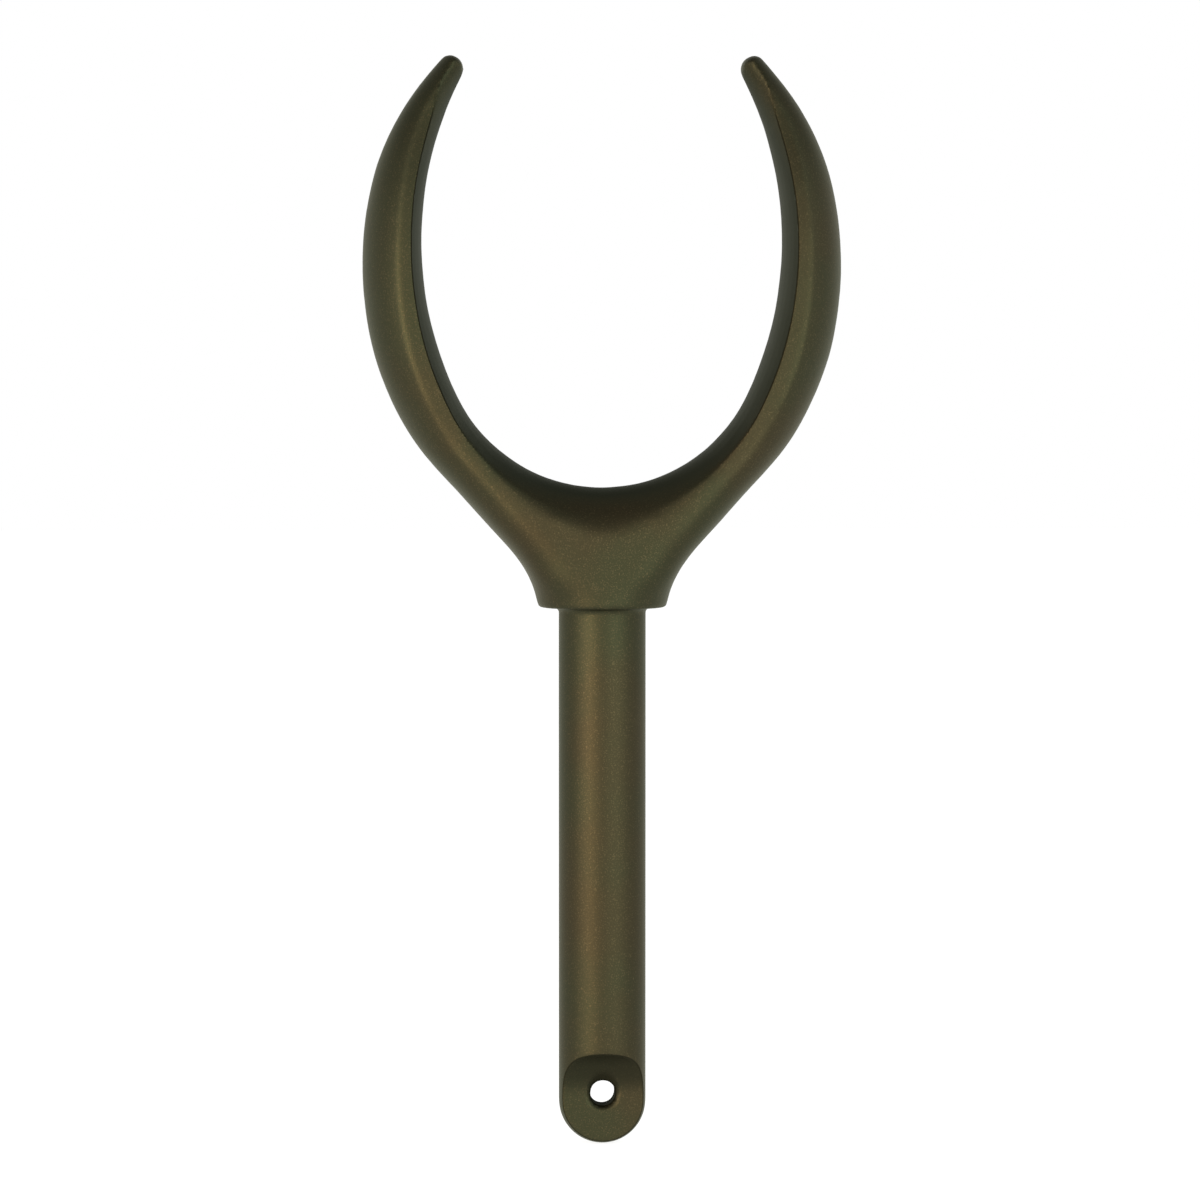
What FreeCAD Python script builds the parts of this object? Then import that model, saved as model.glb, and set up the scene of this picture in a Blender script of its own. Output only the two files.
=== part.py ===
"""Open-horn rowlock, cast in bronze as one piece. Lengths are in millimetres and angles in degrees.

The origin is where the shank axis meets the collar's underside, the face that bears on the socket.
Z runs up the shank axis, X from horn to horn, and Y through the throat, the way an oar lies. The
rowlock is the same on both sides of the XZ plane and of the YZ plane.
"""

import math
import os

import FreeCAD
import Part

Vector = FreeCAD.Vector

# Shank, and the tang with its cross hole
SHANK_RADIUS = 7.9375
SHANK_LENGTH = 98.0
ROOT_CHAMFER = 0.6
TANG_THICKNESS = 5.8
TANG_FLAT_LENGTH = 9.3
SCOOP_RADIUS = 8.6
HOLE_RADIUS = 2.4
HOLE_ABOVE_END = 9.4
HOLE_CHAMFER = 0.7

# Collar and flared neck
COLLAR_RADIUS = 11.6
COLLAR_EDGE_CHAMFER = 0.3
FLARE_RADIUS = 21.0
FLARE_START_ANGLE = 10.0
NECK_SLOPE = 42.0

# Outer outline of the horns, seen from the front
OUTER_HALF_SPAN = 43.35
WIDEST_FROM = 60.6
WIDEST_TO = 64.1
OUTER_LOWER_RADIUS = 54.9
OUTER_TIP_HALF_WIDTH = 28.54

# Inner outline of the horns, seen from the front: the saddle's arc, then an arc up each side
SADDLE_HEIGHT = 21.8
SADDLE_RADIUS = 29.2
SADDLE_ANGLE = 64.0
INNER_TIP_HALF_WIDTH = 23.35

# Depth of the horns, seen from the side
HORN_HALF_DEPTH = 11.6
TIP_HALF_DEPTH = 4.0
TAPER_START = 60.0

# Section of the horns: a flat front, a soft edge, and a flank that rounds to the rim
FLANK_ANGLE = 34.0
SOFT_EDGE_RADIUS = 1.5
BLEND_HEIGHT = 45.0
FRONT_TURN_AT_COLLAR = 15.0
FRONT_TURN_AT_HORN = 0.5

# Crown of the inner face: how far its middle stands in from its front and back edges
SADDLE_CROWN = 7.9
HORN_CROWN = 1.25
TIP_CROWN = 3.2
SADDLE_CROWN_SPREAD = 33.0

# Rounded nose of each horn: as round as the outlines leave room for, and fuller than the tip's depth
TIP_HEIGHT = 99.95
NOSE_FULLNESS = 1.3

# Construction: how many sections shape each stretch, and how far tools run past the metal
NECK_SECTIONS = 8
NECK_SECTION_POWER = 1.4
HORN_SECTIONS = 5
SADDLE_ARCS = 8
SIDE_ARCS = 12
NOSE_ROUNDS = 8
TOP_OVERRUN = 0.5
NOSE_CLEARANCE = 1.01
THROAT_OVERRUN = 1.04
OVERRUN = 2.0
SAME = 0.05


def sine(angle):
    return math.sin(math.radians(angle))


def cosine(angle):
    return math.cos(math.radians(angle))


def smooth_step(share):
    """0 up to share 0, 1 from share 1, and level at both ends."""
    share = min(max(share, 0.0), 1.0)
    return share * share * (3.0 - 2.0 * share)


# Centre of the neck's flare, and where the flare meets the neck's straight slope
FLARE_CENTRE_X = COLLAR_RADIUS + FLARE_RADIUS * cosine(FLARE_START_ANGLE)
FLARE_CENTRE_Z = -FLARE_RADIUS * sine(FLARE_START_ANGLE)
SLOPE_X = FLARE_CENTRE_X - FLARE_RADIUS * cosine(NECK_SLOPE)
SLOPE_Z = FLARE_CENTRE_Z + FLARE_RADIUS * sine(NECK_SLOPE)


def knuckle_height():
    """Height at which the neck's slope runs into the horn's lower arc."""
    from_centre_x = SLOPE_X - (OUTER_HALF_SPAN - OUTER_LOWER_RADIUS)
    from_centre_z = SLOPE_Z - WIDEST_FROM
    along = from_centre_x * sine(NECK_SLOPE) + from_centre_z * cosine(NECK_SLOPE)
    beyond = from_centre_x**2 + from_centre_z**2 - OUTER_LOWER_RADIUS**2
    reach = -along + math.sqrt(max(along**2 - beyond, 0.0))
    return SLOPE_Z + reach * cosine(NECK_SLOPE)


KNUCKLE_Z = knuckle_height()


def outer_upper_radius():
    """Radius of the arc from the horn's widest place in to its tip."""
    rise = TIP_HEIGHT - WIDEST_TO
    run = OUTER_HALF_SPAN - OUTER_TIP_HALF_WIDTH
    return (rise**2 + run**2) / (2.0 * run)


def side_radius():
    """Radius of the arc that leaves the saddle's end smoothly and meets the inner side of the tip."""
    rise = TIP_HEIGHT - (SADDLE_Z - SADDLE_RADIUS * cosine(SADDLE_ANGLE))
    run = INNER_TIP_HALF_WIDTH - SADDLE_RADIUS * sine(SADDLE_ANGLE)
    inward = rise * cosine(SADDLE_ANGLE) - run * sine(SADDLE_ANGLE)
    return (rise**2 + run**2) / (2.0 * inward)


# Radius of the outer outline's upper arc, and centres and radius of the inner outline's arcs
OUTER_UPPER_RADIUS = outer_upper_radius()
SADDLE_Z = SADDLE_HEIGHT + SADDLE_RADIUS
SIDE_RADIUS = side_radius()
SIDE_X = (SADDLE_RADIUS - SIDE_RADIUS) * sine(SADDLE_ANGLE)
SIDE_Z = SADDLE_Z - (SADDLE_RADIUS - SIDE_RADIUS) * cosine(SADDLE_ANGLE)


def outer_half_width(height):
    """Half width of the outer outline: flare, straight slope, then the two arcs of the horn."""
    if height < SLOPE_Z:
        return FLARE_CENTRE_X - math.sqrt(FLARE_RADIUS**2 - (height - FLARE_CENTRE_Z) ** 2)
    if height < KNUCKLE_Z:
        return SLOPE_X + (height - SLOPE_Z) * math.tan(math.radians(NECK_SLOPE))
    if height < WIDEST_FROM:
        rise, radius = WIDEST_FROM - height, OUTER_LOWER_RADIUS
    else:
        rise, radius = max(height - WIDEST_TO, 0.0), OUTER_UPPER_RADIUS
    return OUTER_HALF_SPAN - radius + math.sqrt(radius**2 - rise**2)


def half_depth(height):
    """Half depth of the casting: full up to the taper, then an arc in to the tips."""
    rise = max(height - TAPER_START, 0.0)
    taper_length = TIP_HEIGHT - TAPER_START
    taper = HORN_HALF_DEPTH - TIP_HALF_DEPTH
    radius = (taper_length**2 + taper**2) / (2.0 * taper)
    root = COLLAR_RADIUS + (HORN_HALF_DEPTH - COLLAR_RADIUS) * smooth_step(height / BLEND_HEIGHT)
    return root - radius + math.sqrt(radius**2 - rise**2)


def arc(centre_x, centre_y, radius, start, end, height):
    """Horizontal arc whose outward normal turns from the start angle to the end angle."""
    points = []
    for angle in (start, 0.5 * (start + end), end):
        points.append(Vector(centre_x + radius * cosine(angle), centre_y + radius * sine(angle), height))
    return Part.Arc(*points).toShape()


def outer_section(height):
    """Closed section of the outer form: a circle at the collar that opens to the horn's section."""
    width = outer_half_width(height)
    depth = half_depth(height)
    share = smooth_step(height / BLEND_HEIGHT)
    edge = COLLAR_RADIUS + (SOFT_EDGE_RADIUS - COLLAR_RADIUS) * share
    turn = FRONT_TURN_AT_COLLAR + (FRONT_TURN_AT_HORN - FRONT_TURN_AT_COLLAR) * share
    lean = math.tan(math.radians(0.5 * turn))
    across = width - edge * (sine(FLANK_ANGLE) - sine(turn))
    flank = depth - edge * (cosine(turn) - cosine(FLANK_ANGLE)) - lean * across
    flank /= cosine(FLANK_ANGLE) - lean * (1.0 - sine(FLANK_ANGLE))
    flank_x = width - flank
    edge_x = flank_x + (flank - edge) * sine(FLANK_ANGLE)
    edge_y = (flank - edge) * cosine(FLANK_ANGLE)
    front = (edge_x + edge * sine(turn)) / sine(turn)
    front_y = depth - front
    flank_end = 90 - FLANK_ANGLE
    edges = [
        arc(flank_x, 0, flank, 0, flank_end, height),
        arc(edge_x, edge_y, edge, flank_end, 90 - turn, height),
        arc(0, front_y, front, 90 - turn, 90 + turn, height),
        arc(-edge_x, edge_y, edge, 90 + turn, 180 - flank_end, height),
        arc(-flank_x, 0, flank, 180 - flank_end, 180, height),
        arc(-flank_x, 0, flank, 180, 180 + flank_end, height),
        arc(-edge_x, -edge_y, edge, 180 + flank_end, 270 - turn, height),
        arc(0, -front_y, front, 270 - turn, 270 + turn, height),
        arc(edge_x, -edge_y, edge, 270 + turn, 360 - flank_end, height),
        arc(flank_x, 0, flank, 360 - flank_end, 360, height),
    ]
    return Part.Wire(edges)


def section_heights():
    """Closely spaced up the flare, then evenly up the horns to just past their tips."""
    shares = [index / (NECK_SECTIONS - 1) for index in range(NECK_SECTIONS)]
    heights = [BLEND_HEIGHT * share**NECK_SECTION_POWER for share in shares]
    step = (TIP_HEIGHT + TOP_OVERRUN - BLEND_HEIGHT) / HORN_SECTIONS
    return heights + [BLEND_HEIGHT + step * (index + 1) for index in range(HORN_SECTIONS)]


def outer_form():
    """Neck and horns as one smooth form, with the throat still filled."""
    return Part.makeLoft([outer_section(height) for height in section_heights()], True, False)


def crown_point(angle):
    """Point of the inner outline whose outward normal is this angle from straight down."""
    if angle <= SADDLE_ANGLE:
        return SADDLE_RADIUS * sine(angle), SADDLE_Z - SADDLE_RADIUS * cosine(angle)
    return SIDE_X + SIDE_RADIUS * sine(angle), SIDE_Z - SIDE_RADIUS * cosine(angle)


def crown_drop(angle, height):
    """Deep over the saddle, shallow along the horns, and deeper again where the tips round off."""
    saddle = (SADDLE_CROWN - HORN_CROWN) / (1.0 + (angle / SADDLE_CROWN_SPREAD) ** 2)
    taper = max(height - TAPER_START, 0.0) / (TIP_HEIGHT - TAPER_START)
    return HORN_CROWN + saddle + (TIP_CROWN - HORN_CROWN) * taper**4


def crown_arc(angle, side):
    """Arc across the inner face, in the plane square to the inner outline."""
    x, z = crown_point(angle)
    depth = half_depth(z)
    drop = crown_drop(angle, z)
    radius = (depth**2 + drop**2) / (2.0 * drop)
    reach = THROAT_OVERRUN * depth
    sag = radius - math.sqrt(max(radius**2 - reach**2, 0.0))
    out_x = x + sag * sine(angle)
    out_z = z - sag * cosine(angle)
    points = (Vector(side * out_x, -reach, out_z), Vector(side * x, 0, z), Vector(side * out_x, reach, out_z))
    return Part.Wire([Part.Arc(*points).toShape()])


def crown_angles():
    """From the middle of the saddle, up one side and past the tip."""
    saddle = [SADDLE_ANGLE * index / SADDLE_ARCS for index in range(SADDLE_ARCS)]
    last = 90.0 + math.degrees(math.asin((TIP_HEIGHT + OVERRUN - SIDE_Z) / SIDE_RADIUS))
    step = (last - SADDLE_ANGLE) / SIDE_ARCS
    return saddle + [SADDLE_ANGLE + step * index for index in range(SIDE_ARCS + 1)]


def throat_surface():
    """Crowned face that the oar bears on, from past one tip, round the saddle, to past the other."""
    angles = crown_angles()
    left = [crown_arc(angle, -1) for angle in reversed(angles[1:])]
    right = [crown_arc(angle, 1) for angle in angles]
    return Part.makeLoft(left + right, False, False).Faces[0]


def nose():
    """Height, distance out, radius, lean and half taper of the round nose that ends a horn."""
    radius = 0.0
    for _ in range(NOSE_ROUNDS):
        height = TIP_HEIGHT - radius
        inner_slope = math.asin((height - SIDE_Z) / SIDE_RADIUS)
        outer_slope = math.asin((height - WIDEST_TO) / OUTER_UPPER_RADIUS)
        inner = SIDE_X + SIDE_RADIUS * math.cos(inner_slope)
        width = outer_half_width(height) - inner
        radius = width / (1.0 / math.cos(inner_slope) + 1.0 / math.cos(outer_slope))
    out = inner + radius / math.cos(inner_slope)
    lean = math.degrees(0.5 * (outer_slope + inner_slope))
    half_taper = math.degrees(0.5 * (outer_slope - inner_slope))
    return height, out, radius, lean, half_taper


def nose_cutter(side):
    """Everything past the end of a horn, less the ellipsoid that rounds it."""
    height, out, radius, lean, half_taper = nose()
    stretch = FreeCAD.Matrix()
    stretch.scale(1.0, (half_depth(height) + NOSE_FULLNESS) / radius, 1.0)
    rounded = Part.makeSphere(radius * NOSE_CLEARANCE).transformGeometry(stretch)
    size = 2.0 * HORN_HALF_DEPTH
    block = Part.makeBox(size, size, size, Vector(-0.5 * size, -0.5 * size, radius * sine(half_taper)))
    block.rotate(Vector(0, 0, 0), Vector(0, 1, 0), -side * lean)
    cutter = block.cut(rounded)
    cutter.translate(Vector(side * out, 0, height))
    return cutter


def horns():
    """Collar, neck and both horns, with the throat opened and the tips rounded."""
    pieces, _ = outer_form().generalFuse([throat_surface()])
    form = min(pieces.Solids, key=lambda piece: piece.BoundBox.ZMin)
    for side in (-1, 1):
        form = form.cut(nose_cutter(side))
    return form


def shank():
    """Round shank with a domed end, flattened to a tang that has a cross hole."""
    dome_z = SHANK_RADIUS - SHANK_LENGTH
    foot = Vector(0, 0, -SHANK_LENGTH)
    dome_middle = Vector(SHANK_RADIUS * sine(45), 0, dome_z - SHANK_RADIUS * cosine(45))
    side_foot = Vector(SHANK_RADIUS, 0, dome_z)
    side_top = Vector(SHANK_RADIUS, 0, OVERRUN)
    top = Vector(0, 0, OVERRUN)
    profile = Part.Wire([
        Part.Arc(foot, dome_middle, side_foot).toShape(),
        Part.LineSegment(side_foot, side_top).toShape(),
        Part.LineSegment(side_top, top).toShape(),
        Part.LineSegment(top, foot).toShape(),
    ])
    rod = Part.Face(profile).revolve(Vector(0, 0, 0), Vector(0, 0, 1), 360)
    return rod.cut([scoop(-1), scoop(1), cross_hole()])


def scoop(side):
    """Cutter for one face of the tang: flat at the bottom, and an arc out to the round shank."""
    flat = 0.5 * TANG_THICKNESS
    outside = SHANK_RADIUS + OVERRUN
    flat_top = TANG_FLAT_LENGTH - SHANK_LENGTH
    turn = math.degrees(math.acos((flat + SCOOP_RADIUS - outside) / SCOOP_RADIUS))

    def on_arc(angle):
        out = flat + SCOOP_RADIUS * (1.0 - cosine(angle))
        return Vector(-outside, side * out, flat_top + SCOOP_RADIUS * sine(angle))

    bottom = -SHANK_LENGTH - OVERRUN
    corner = Vector(-outside, side * outside, bottom)
    foot = Vector(-outside, side * flat, bottom)
    outline = Part.Wire([
        Part.Arc(on_arc(0), on_arc(0.5 * turn), on_arc(turn)).toShape(),
        Part.LineSegment(on_arc(turn), corner).toShape(),
        Part.LineSegment(corner, foot).toShape(),
        Part.LineSegment(foot, on_arc(0)).toShape(),
    ])
    return Part.Face(outline).extrude(Vector(2.0 * outside, 0, 0))


def cross_hole():
    """Cutter for the hole through the tang, with a chamfer at each mouth."""
    straight = 0.5 * TANG_THICKNESS - HOLE_CHAMFER
    end = 0.5 * TANG_THICKNESS + OVERRUN
    mouth = HOLE_RADIUS + HOLE_CHAMFER + OVERRUN
    profile = [
        Vector(0, -end, 0),
        Vector(mouth, -end, 0),
        Vector(HOLE_RADIUS, -straight, 0),
        Vector(HOLE_RADIUS, straight, 0),
        Vector(mouth, end, 0),
        Vector(0, end, 0),
        Vector(0, -end, 0),
    ]
    hole = Part.Face(Part.makePolygon(profile)).revolve(Vector(0, 0, 0), Vector(0, 1, 0), 360)
    hole.translate(Vector(0, 0, HOLE_ABOVE_END - SHANK_LENGTH))
    return hole


def underside_edges(body, radius):
    """Edges of the collar's underside that lie on a circle of this radius."""
    found = []
    for edge in body.Edges:
        middle = edge.valueAt(0.5 * (edge.FirstParameter + edge.LastParameter))
        level = max(abs(edge.BoundBox.ZMin), abs(edge.BoundBox.ZMax)) < SAME
        if level and abs(math.hypot(middle.x, middle.y) - radius) < SAME:
            found.append(edge)
    return found


def rowlock():
    """Horns and shank as one casting, with the shank's root and the collar's edge chamfered."""
    body = horns().fuse(shank()).Solids[0]
    body = body.makeChamfer(ROOT_CHAMFER, underside_edges(body, SHANK_RADIUS))
    return body.makeChamfer(COLLAR_EDGE_CHAMFER, underside_edges(body, COLLAR_RADIUS))


def main():
    os.makedirs("parts", exist_ok=True)
    body = rowlock().removeSplitter().Solids[0]
    print("rowlock", body.isValid(), "volume", round(body.Volume, 1), "faces", len(body.Faces))
    body.exportStep("parts/rowlock.step")


main()
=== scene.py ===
import math

import bmesh
import bpy
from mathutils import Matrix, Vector, noise


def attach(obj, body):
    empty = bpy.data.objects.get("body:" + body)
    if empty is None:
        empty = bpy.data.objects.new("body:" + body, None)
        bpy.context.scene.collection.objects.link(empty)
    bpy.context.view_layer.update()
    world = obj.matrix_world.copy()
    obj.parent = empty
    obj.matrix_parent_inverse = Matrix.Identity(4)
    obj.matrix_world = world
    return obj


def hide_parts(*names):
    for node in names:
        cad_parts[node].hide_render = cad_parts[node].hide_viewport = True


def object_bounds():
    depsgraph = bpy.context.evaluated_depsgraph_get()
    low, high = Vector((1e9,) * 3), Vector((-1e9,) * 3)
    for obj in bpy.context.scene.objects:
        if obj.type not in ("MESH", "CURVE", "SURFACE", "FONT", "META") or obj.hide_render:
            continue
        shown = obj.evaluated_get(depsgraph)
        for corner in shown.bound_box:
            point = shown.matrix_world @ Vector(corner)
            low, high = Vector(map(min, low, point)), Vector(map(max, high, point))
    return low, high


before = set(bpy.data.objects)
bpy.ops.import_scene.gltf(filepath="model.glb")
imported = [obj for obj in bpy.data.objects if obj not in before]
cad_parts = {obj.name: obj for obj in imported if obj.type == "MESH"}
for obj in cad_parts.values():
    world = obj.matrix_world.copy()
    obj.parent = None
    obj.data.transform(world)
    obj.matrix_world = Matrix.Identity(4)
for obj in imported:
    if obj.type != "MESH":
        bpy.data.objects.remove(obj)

# Lengths are in metres and angles in degrees, unless a name says otherwise.
# A pair of numbers is the stretch over which an effect fades in or out.
CAD_BOX = [list(corner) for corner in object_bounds()]

# Camera, at the photograph's viewing angle: a long lens, a little left of and above the collar
CAMERA_AZIMUTH = -2.9
CAMERA_ELEVATION = 2.9
CAMERA_DISTANCE = 0.957
CAMERA_LENS_MM = 157.8
CAMERA_SENSOR_MM = 36.0
CAMERA_AIM = Vector((-0.0004, 0.0, 0.0013))

# Studio: low white walls all round, under a dark ceiling
WHITE = (1.0, 1.0, 1.0, 1.0)
WALL_LIGHT = 1.0
WALL_TOP = 15.0
CEILING_LIGHT = 0.33
CEILING_FROM = 32.0
FLOOR_SIZE = 6.0
FLOOR_COLOUR = (0.40, 0.40, 0.39, 1.0)
FLOOR_ROUGHNESS = 0.9
FLOOR_WHITENING = 0.88

# Soft boxes facing the origin: azimuth, elevation, width, height, power in watts and colour of each
LAMP_DISTANCE = 0.6
LAMPS = {
    "key_lamp": (-45.0, 0.0, 0.40, 0.18, 1.1, (1.0, 0.86, 0.72)),
    "streak_lamp": (-32.0, -3.0, 0.20, 0.12, 0.92, (1.0, 0.72, 0.43)),
    "high_lamp": (-40.0, 30.0, 0.45, 0.45, 0.55, (1.0, 0.95, 0.92)),
    "fill_lamp": (30.0, -1.0, 0.48, 0.17, 1.05, (0.93, 1.0, 0.83)),
    "cool_lamp": (60.0, 30.0, 0.45, 0.45, 0.45, (0.65, 0.95, 1.0)),
}

# Surface of the casting: even facets, softened between the sharp edges
MERGE_WITHIN = 1e-6
FACET_DEPTH = 9
FACET_SCALE = 0.77
FACET_SHARPNESS = 1.0
SURFACE_SOFTENING = 0.5
SURFACE_ROUNDS = 10

# Sharp edges: crisp along the horns and the tang, softer round the collar, the saddle and the tips
EDGE_ANGLE = 32.0
EDGE_ROUNDS = 6
EDGE_WIDTH = 0.00016
EDGE_SEGMENTS = 2
EDGE_SLOT = 1
COLLAR_EDGE = 0.0012
COLLAR_CRISPNESS = 0.45
COLLAR_TOP = 0.005
SADDLE_TO_HORN = (0.026, 0.034)
HORN_TO_TIP = (0.088, 0.096)

# Neck: its outline from the front, how much squarer than round its section is, and over what height
COLLAR_RADIUS = 0.0116
FLARE_RADIUS = 0.021
FLARE_START = 10.0
NECK_SLOPE = 42.0
NECK_SQUARENESS = 0.9
NECK_SQUARE_FROM = (0.0, 0.007)
NECK_SQUARE_TO = (0.004, 0.034)
NECK_SIDE = 0.999

# Saddle's rim, front and back, rounded more broadly than the other edges
RIM_ROUNDS = 60
RIM_ACROSS = (0.010, 0.022)
RIM_OUTWARDS = (0.0045, 0.0075)
RIM_HEIGHT = (0.006, 0.011)

# Slight waves of the cast surface on the horns and the neck
WAVE_DEPTH = 0.00006
WAVE_LENGTH = 0.007
WAVES_FROM = (0.002, 0.015)

# Darker places: painted shade inside the horns, on the walls of the hole and in the scoops above the
# tang's flats, and darker lines along the edges
THROAT_CENTRE = Vector((0.0, 0.0, 0.062))
THROAT_FACING = (0.70, 0.90)
HOLE_CENTRE = Vector((0.0, 0.0, -0.0886))
HOLE_REACH = 0.0027
HOLE_WALL_FACING = 0.5
HOLE_DARKNESS = 2.0
COUNTERSINK_REACH = 0.0040
SCOOP_FOOT = -0.0890
SCOOP_TOP = -0.0700
SCOOP_FACING_DOWN = (0.0, 0.35)
SCOOP_DARKNESS = 0.6
HORN_LINE_DARKNESS = 1.0
TANG_LINE_DARKNESS = 0.55

# Blasted bronze, and the painted shade laid over it inside the horns, in the hole and in the scoops
BRONZE_BROWN = (0.050, 0.042, 0.023, 1.0)
BRONZE_OLIVE = (0.043, 0.044, 0.024, 1.0)
BRONZE_FLECK = (0.105, 0.083, 0.044, 1.0)
BRONZE_EDGE_LINE = (0.014, 0.013, 0.007, 1.0)
THROAT_PAINTED_SHADE = (0.022, 0.024, 0.015, 1.0)
BRONZE_RIM_TINT = (0.96, 0.98, 0.88, 1.0)
BRONZE_ROUGHNESS = 0.50
PAINTED_SHADE_DULLING = 0.45
DRIFT_SCALE = 45.0
DRIFT_DETAIL = 3.0
DRIFT_TO_OLIVE = (0.35, 0.65)
GRAIN_SCALE = 4200.0
GRAIN_DETAIL = 2.0
GRAIN_TO_FLECK = (0.50, 0.85)
GRAIN_STRENGTH = 0.35
GRAIN_DEPTH = 0.00004


def around(azimuth, elevation, distance):
    """Place at this distance from the origin. Azimuth 0 is in front, on the -Y side, and 90 is at +X."""
    turn = math.radians(azimuth)
    rise = math.radians(elevation)
    level = math.cos(rise)
    return distance * Vector((math.sin(turn) * level, -math.cos(turn) * level, math.sin(rise)))


def look_at(thing, place, target):
    """Puts a camera or lamp at a place, facing a target."""
    thing.location = place
    thing.rotation_euler = (target - place).to_track_quat("-Z", "Y").to_euler()


def add_camera():
    bpy.ops.object.camera_add()
    camera = bpy.context.object
    camera.name = "camera"
    camera.data.lens = CAMERA_LENS_MM
    camera.data.sensor_width = CAMERA_SENSOR_MM
    place = CAMERA_AIM + around(CAMERA_AZIMUTH, CAMERA_ELEVATION, CAMERA_DISTANCE)
    look_at(camera, place, CAMERA_AIM)
    bpy.context.scene.camera = camera


def add_lamp(name, azimuth, elevation, width, height, power, colour):
    bpy.ops.object.light_add(type="AREA")
    lamp = bpy.context.object
    lamp.name = name
    lamp.data.shape = "RECTANGLE"
    lamp.data.size = width
    lamp.data.size_y = height
    lamp.data.energy = power
    lamp.data.color = colour
    look_at(lamp, around(azimuth, elevation, LAMP_DISTANCE), Vector((0.0, 0.0, 0.0)))


def feed(tree, socket, value):
    """Gives a socket a number, a colour or another node's output."""
    if isinstance(value, bpy.types.NodeSocket):
        tree.links.new(value, socket)
    else:
        socket.default_value = value


def math_node(tree, operation, first, second):
    node = tree.nodes.new("ShaderNodeMath")
    node.operation = operation
    feed(tree, node.inputs[0], first)
    feed(tree, node.inputs[1], second)
    return node.outputs[0]


def mix_node(tree, share, first, second):
    """The first colour where share is 0, and the second where it is 1."""
    node = tree.nodes.new("ShaderNodeMix")
    node.data_type = "RGBA"
    feed(tree, node.inputs["Factor"], share)
    feed(tree, node.inputs["A"], first)
    feed(tree, node.inputs["B"], second)
    return node.outputs["Result"]


def ramp_node(tree, value, low, high):
    """0 below low and 1 above high."""
    node = tree.nodes.new("ShaderNodeMapRange")
    node.interpolation_type = "SMOOTHSTEP"
    node.inputs["From Min"].default_value = low
    node.inputs["From Max"].default_value = high
    feed(tree, node.inputs["Value"], value)
    return node.outputs["Result"]


def noise_node(tree, place, scale, detail):
    node = tree.nodes.new("ShaderNodeTexNoise")
    node.inputs["Scale"].default_value = scale
    node.inputs["Detail"].default_value = detail
    feed(tree, node.inputs["Vector"], place)
    return node.outputs["Fac"]


def mark_node(tree, name):
    """Reads a mark that mark_dark_parts puts on the casting's faces."""
    node = tree.nodes.new("ShaderNodeAttribute")
    node.attribute_name = name
    return node.outputs["Fac"]


def light_the_world():
    """White walls round the object, and a dark ceiling over them."""
    world = bpy.data.worlds.new("studio")
    bpy.context.scene.world = world
    world.use_nodes = True
    tree = world.node_tree
    tree.nodes.clear()
    direction = tree.nodes.new("ShaderNodeTexCoord")
    axes = tree.nodes.new("ShaderNodeSeparateXYZ")
    tree.links.new(direction.outputs["Generated"], axes.inputs[0])
    wall_top = math.sin(math.radians(WALL_TOP))
    ceiling_edge = math.sin(math.radians(CEILING_FROM))
    ceiling = ramp_node(tree, axes.outputs["Z"], wall_top, ceiling_edge)
    dimming = math_node(tree, "MULTIPLY", ceiling, WALL_LIGHT - CEILING_LIGHT)
    strength = math_node(tree, "SUBTRACT", WALL_LIGHT, dimming)
    background = tree.nodes.new("ShaderNodeBackground")
    background.inputs["Color"].default_value = WHITE
    tree.links.new(strength, background.inputs["Strength"])
    output = tree.nodes.new("ShaderNodeOutputWorld")
    tree.links.new(background.outputs[0], output.inputs["Surface"])


def pale_floor():
    """Grey to the light, so that it keeps a shadow, and near white to the camera and in the metal."""
    material = bpy.data.materials.new("pale_floor")
    material.use_nodes = True
    tree = material.node_tree
    surface = tree.nodes["Principled BSDF"]
    surface.inputs["Base Color"].default_value = FLOOR_COLOUR
    surface.inputs["Roughness"].default_value = FLOOR_ROUGHNESS
    surface.inputs["Specular IOR Level"].default_value = 0.0
    surface.inputs["Emission Color"].default_value = WHITE
    rays = tree.nodes.new("ShaderNodeLightPath")
    direct = math_node(tree, "ADD", rays.outputs["Is Camera Ray"], rays.outputs["Is Glossy Ray"])
    seen = math_node(tree, "ADD", direct, rays.outputs["Is Transmission Ray"])
    whitening = math_node(tree, "MULTIPLY", seen, FLOOR_WHITENING)
    tree.links.new(whitening, surface.inputs["Emission Strength"])
    return material


def add_floor():
    """Floor under the tang's foot."""
    bpy.ops.mesh.primitive_plane_add(size=FLOOR_SIZE, location=(0.0, 0.0, CAD_BOX[0][2]))
    floor = bpy.context.object
    floor.name = "floor"
    floor.data.materials.append(pale_floor())


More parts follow.
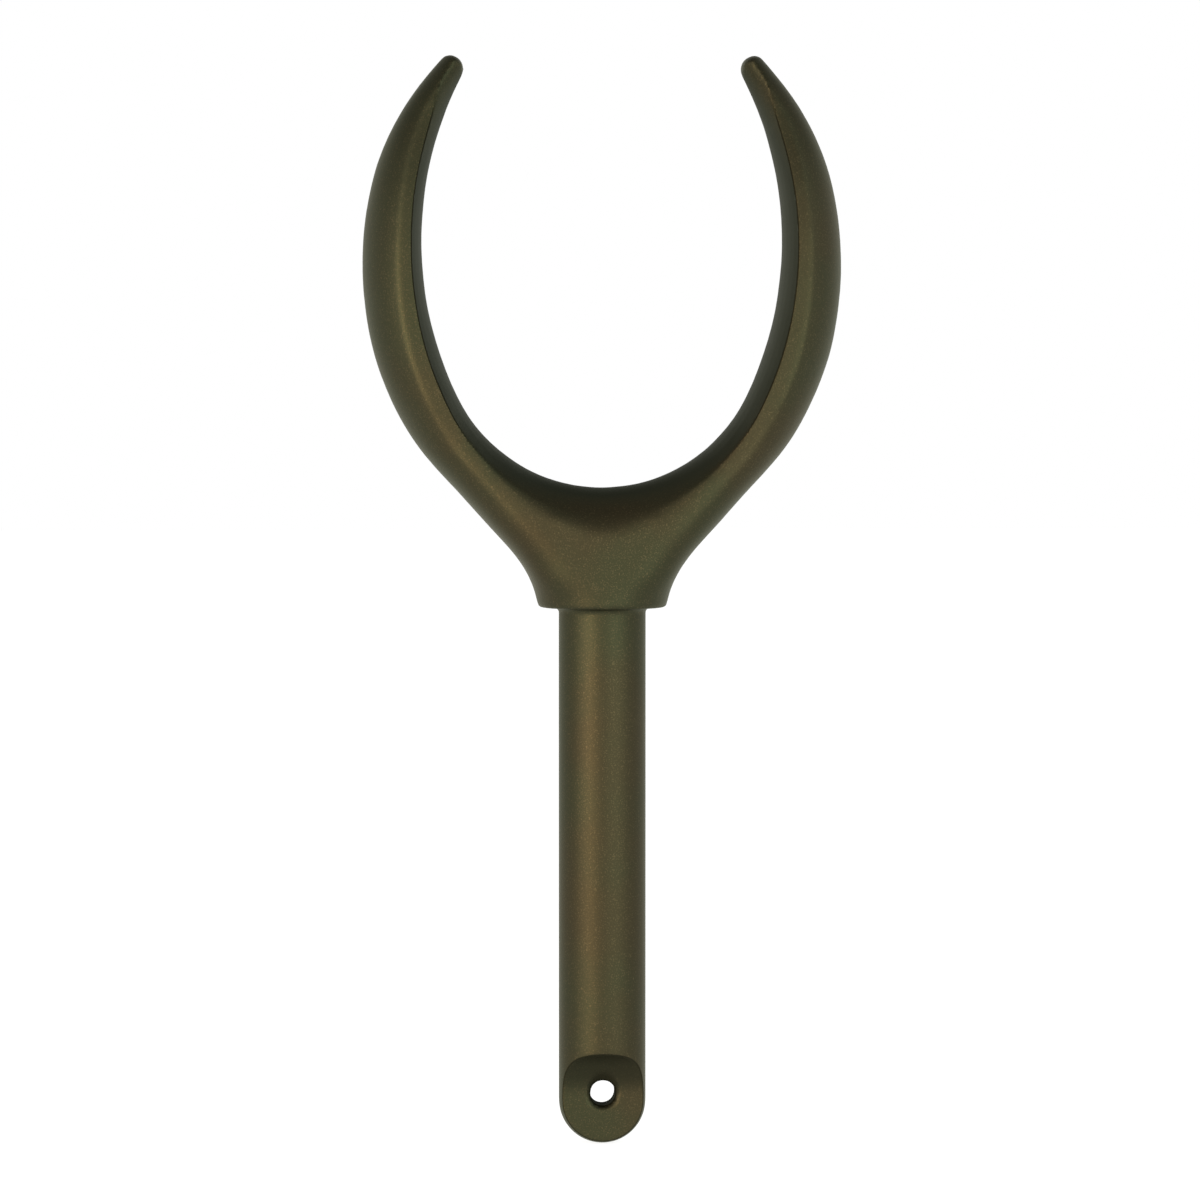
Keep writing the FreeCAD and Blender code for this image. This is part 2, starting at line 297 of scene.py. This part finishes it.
def blasted_bronze():
    """Dark bronze, blasted matt: a slow drift from brown to olive, fine grain and bright flecks."""
    material = bpy.data.materials.new("blasted_bronze")
    material.use_nodes = True
    tree = material.node_tree
    surface = tree.nodes["Principled BSDF"]
    place = tree.nodes.new("ShaderNodeTexCoord").outputs["Object"]
    patches = noise_node(tree, place, DRIFT_SCALE, DRIFT_DETAIL)
    grain = noise_node(tree, place, GRAIN_SCALE, GRAIN_DETAIL)
    throat = mark_node(tree, "throat")
    drift = ramp_node(tree, patches, *DRIFT_TO_OLIVE)
    flecks = ramp_node(tree, grain, *GRAIN_TO_FLECK)
    metal = mix_node(tree, drift, BRONZE_BROWN, BRONZE_OLIVE)
    metal = mix_node(tree, flecks, metal, BRONZE_FLECK)
    # Painted shade: darker inside the horns, on the walls of the hole and in the scoops.
    metal = mix_node(tree, throat, metal, THROAT_PAINTED_SHADE)
    metal = mix_node(tree, mark_node(tree, "edge_line"), metal, BRONZE_EDGE_LINE)
    tree.links.new(metal, surface.inputs["Base Color"])
    # Where the shade is painted the metal is also less metallic, which darkens its reflections.
    dulling = math_node(tree, "MULTIPLY", throat, PAINTED_SHADE_DULLING)
    shine = math_node(tree, "SUBTRACT", 1.0, dulling)
    tree.links.new(shine, surface.inputs["Metallic"])
    surface.inputs["Roughness"].default_value = BRONZE_ROUGHNESS
    surface.inputs["Specular IOR Level"].default_value = 0.0
    surface.inputs["Specular Tint"].default_value = BRONZE_RIM_TINT
    bump = tree.nodes.new("ShaderNodeBump")
    bump.inputs["Strength"].default_value = GRAIN_STRENGTH
    bump.inputs["Distance"].default_value = GRAIN_DEPTH
    tree.links.new(grain, bump.inputs["Height"])
    tree.links.new(bump.outputs["Normal"], surface.inputs["Normal"])
    return material


def ramp_between(value, low, high):
    """0 up to low and 1 from high, in a straight line between them."""
    return min(max((value - low) / (high - low), 0.0), 1.0)


def smooth_between(value, low, high):
    """The same, with a soft start and a soft end."""
    share = ramp_between(value, low, high)
    return share * share * (3.0 - 2.0 * share)


def from_the_front(place):
    """The same place with its depth left out."""
    return Vector((place.x, 0.0, place.z))


def apply_modifiers(thing):
    for modifier in list(thing.modifiers):
        bpy.ops.object.modifier_apply(modifier=modifier.name)


def copy_casting():
    """The CAD casting's mesh in an object of its own, with its loose triangles merged."""
    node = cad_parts["rowlock"]
    casting = bpy.data.objects.new("cast_rowlock", node.data.copy())
    bpy.context.collection.objects.link(casting)
    bpy.ops.object.select_all(action="DESELECT")
    casting.select_set(True)
    bpy.context.view_layer.objects.active = casting
    bpy.ops.object.mode_set(mode="EDIT")
    bpy.ops.mesh.select_all(action="SELECT")
    bpy.ops.mesh.remove_doubles(threshold=MERGE_WITHIN)
    bpy.ops.object.mode_set(mode="OBJECT")
    return casting


def even_facets(casting):
    """Covers the casting in facets of one size, which keep its sharp edges."""
    even = casting.modifiers.new("even_facets", "REMESH")
    even.mode = "SHARP"
    even.octree_depth = FACET_DEPTH
    even.scale = FACET_SCALE
    even.sharpness = FACET_SHARPNESS
    even.use_smooth_shade = True
    apply_modifiers(casting)


def neck_half_width(height):
    """Half width of the neck, seen from the front: a flare out of the collar, then a straight slope."""
    start = math.radians(FLARE_START)
    slope = math.radians(NECK_SLOPE)
    centre_x = COLLAR_RADIUS + FLARE_RADIUS * math.cos(start)
    centre_z = -FLARE_RADIUS * math.sin(start)
    slope_z = centre_z + FLARE_RADIUS * math.sin(slope)
    if height < slope_z:
        return centre_x - math.sqrt(FLARE_RADIUS**2 - (height - centre_z) ** 2)
    slope_x = centre_x - FLARE_RADIUS * math.cos(slope)
    return slope_x + (height - slope_z) * math.tan(slope)


def fill_neck_corners(mesh):
    """Makes the neck's round section squarer, so that the horns' ridges run down it to the collar.

    A power of 2 is a round section, and a higher one is squarer.
    """
    for vertex in mesh.vertices:
        height = vertex.co.z
        started = smooth_between(height, *NECK_SQUARE_FROM)
        ended = smooth_between(height, *NECK_SQUARE_TO)
        share = started * (1.0 - ended)
        if share > 0.0:
            # At the outline itself both sections have no depth, so the sum stops just inside it.
            out = min(abs(vertex.co.x) / neck_half_width(height), NECK_SIDE)
            power = 2.0 + NECK_SQUARENESS * share
            vertex.co.y *= (1.0 - out**power) ** (1.0 / power) / math.sqrt(1.0 - out**2)


def crispness(height):
    """How crisp the sharp edges are at this height, from 0, softened with the rest, to 1, kept."""
    if abs(height) < COLLAR_EDGE:
        return COLLAR_CRISPNESS
    if height < COLLAR_TOP:
        return 1.0
    return ramp_between(height, *SADDLE_TO_HORN) * (1.0 - ramp_between(height, *HORN_TO_TIP))


def bevel_share(place):
    """Share of the bevel: full on the horns and round the tang's flats, none at the collar."""
    if place.z > COLLAR_TOP:
        return crispness(place.z)
    beside_hole = (from_the_front(place) - HOLE_CENTRE).length < COUNTERSINK_REACH
    return 1.0 if place.z < SCOOP_TOP and not beside_hole else 0.0


def rim_share(place):
    """How far the saddle's rim is rounded at this place: most in its middle, front and back."""
    across = 1.0 - ramp_between(abs(place.x), *RIM_ACROSS)
    return across * ramp_between(abs(place.y), *RIM_OUTWARDS) * ramp_between(place.z, *RIM_HEIGHT)


def mark_sharp_edges(surface):
    """Gives the sharp edges their share of the bevel. Returns each vertex's neighbours along them."""
    bevels = surface.edges.layers.float.new("bevel_weight_edge")
    beside = {}
    for edge in surface.edges:
        if edge.is_manifold and edge.calc_face_angle() > math.radians(EDGE_ANGLE):
            first, second = edge.verts
            edge[bevels] = bevel_share(first.co)
            beside.setdefault(first, []).append(second)
            beside.setdefault(second, []).append(first)
    return beside


def even_edges(beside):
    """Takes the steps between facets out of the sharp edges."""
    along = {vertex: ends for vertex, ends in beside.items() if len(ends) == 2}
    for _ in range(EDGE_ROUNDS):
        evened = {}
        for vertex, ends in along.items():
            evened[vertex] = (2.0 * vertex.co + ends[0].co + ends[1].co) / 4.0
        for vertex, place in evened.items():
            vertex.co = place


def hold_edges(casting):
    """Evens the sharp edges, marks them for the bevel, and keeps the crisp ones from softening."""
    surface = bmesh.new()
    surface.from_mesh(casting.data)
    # The even facets leave a few edges that four faces share.
    crossed = [edge for edge in surface.edges if not edge.is_manifold]
    bmesh.ops.collapse(surface, edges=crossed)
    beside = mark_sharp_edges(surface)
    even_edges(beside)
    surface.to_mesh(casting.data)
    held = {vertex.index: crispness(vertex.co.z) for vertex in beside}
    surface.free()
    softened = casting.vertex_groups.new(name="softened")
    rim = casting.vertex_groups.new(name="rim")
    for index, vertex in enumerate(casting.data.vertices):
        softened.add([index], 1.0 - held.get(index, 0.0), "REPLACE")
        rim.add([index], rim_share(vertex.co), "REPLACE")


def soften(casting, name, rounds, group):
    """Smooths the surface as far as the vertex group lets it."""
    smoothing = casting.modifiers.new(name, "SMOOTH")
    smoothing.factor = SURFACE_SOFTENING
    smoothing.iterations = rounds
    smoothing.vertex_group = group


def round_edges(casting):
    """Rounds the marked edges. The new faces take the second material slot, which tells them apart."""
    rounding = casting.modifiers.new("rounded_edges", "BEVEL")
    rounding.width = EDGE_WIDTH
    rounding.segments = EDGE_SEGMENTS
    rounding.use_clamp_overlap = False
    rounding.limit_method = "WEIGHT"
    rounding.material = EDGE_SLOT


def mark_dark_parts(mesh):
    """Marks the rounded edges, and the faces inside the horns, in the scoops and in the hole. They are
    all darker; inside the horns, in the scoops and in the hole the darkening is painted shade.
    """
    mesh.attributes.new("edge_line", "FLOAT", "FACE")
    mesh.attributes.new("throat", "FLOAT", "FACE")
    lines = mesh.attributes["edge_line"].data
    throat = mesh.attributes["throat"].data
    for face in mesh.polygons:
        height = face.center.z
        if face.material_index == EDGE_SLOT:
            strength = HORN_LINE_DARKNESS if height > 0.0 else TANG_LINE_DARKNESS
            lines[face.index].value = strength * bevel_share(face.center)
        face.material_index = 0
        place = from_the_front(face.center)
        # Painted shade on the faces that turn in towards the middle of the horns.
        if height > 0.0:
            inwards = (THROAT_CENTRE - place).normalized()
            throat[face.index].value = ramp_between(face.normal.dot(inwards), *THROAT_FACING)
        # Painted shade on the walls of the hole.
        elif (HOLE_CENTRE - place).length < HOLE_REACH and abs(face.normal.y) < HOLE_WALL_FACING:
            throat[face.index].value = HOLE_DARKNESS
        # Painted shade in the scoops, deeper the more a face looks down.
        elif SCOOP_FOOT < height < SCOOP_TOP:
            throat[face.index].value = SCOOP_DARKNESS * ramp_between(-face.normal.z, *SCOOP_FACING_DOWN)


def add_waves(mesh):
    """Shallow waves over the horns and neck. The shank stays true, because it turns in a socket."""
    front = CAD_BOX[0][1]
    back = CAD_BOX[1][1]
    outward = [vertex.normal.copy() for vertex in mesh.vertices]
    for vertex, normal in zip(mesh.vertices, outward):
        share = ramp_between(vertex.co.z, *WAVES_FROM)
        wave = noise.noise(vertex.co / WAVE_LENGTH)
        vertex.co += normal * (share * wave * WAVE_DEPTH)
        vertex.co.y = min(max(vertex.co.y, front), back)


def cast_skin():
    """The CAD casting again, in even facets, with rounded edges. It stands in for the CAD node."""
    casting = copy_casting()
    bronze = blasted_bronze()
    casting.data.materials.clear()
    casting.data.materials.append(bronze)
    casting.data.materials.append(bronze)
    even_facets(casting)
    fill_neck_corners(casting.data)
    hold_edges(casting)
    soften(casting, "soft_surface", SURFACE_ROUNDS, "softened")
    soften(casting, "round_rim", RIM_ROUNDS, "rim")
    round_edges(casting)
    apply_modifiers(casting)
    mark_dark_parts(casting.data)
    casting.data.materials.pop(index=EDGE_SLOT)
    casting.vertex_groups.clear()
    add_waves(casting.data)
    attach(casting, "root")
    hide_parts("rowlock")


bpy.context.scene.view_settings.view_transform = "Standard"
add_camera()
light_the_world()
for name, settings in LAMPS.items():
    add_lamp(name, *settings)
add_floor()
cast_skin()
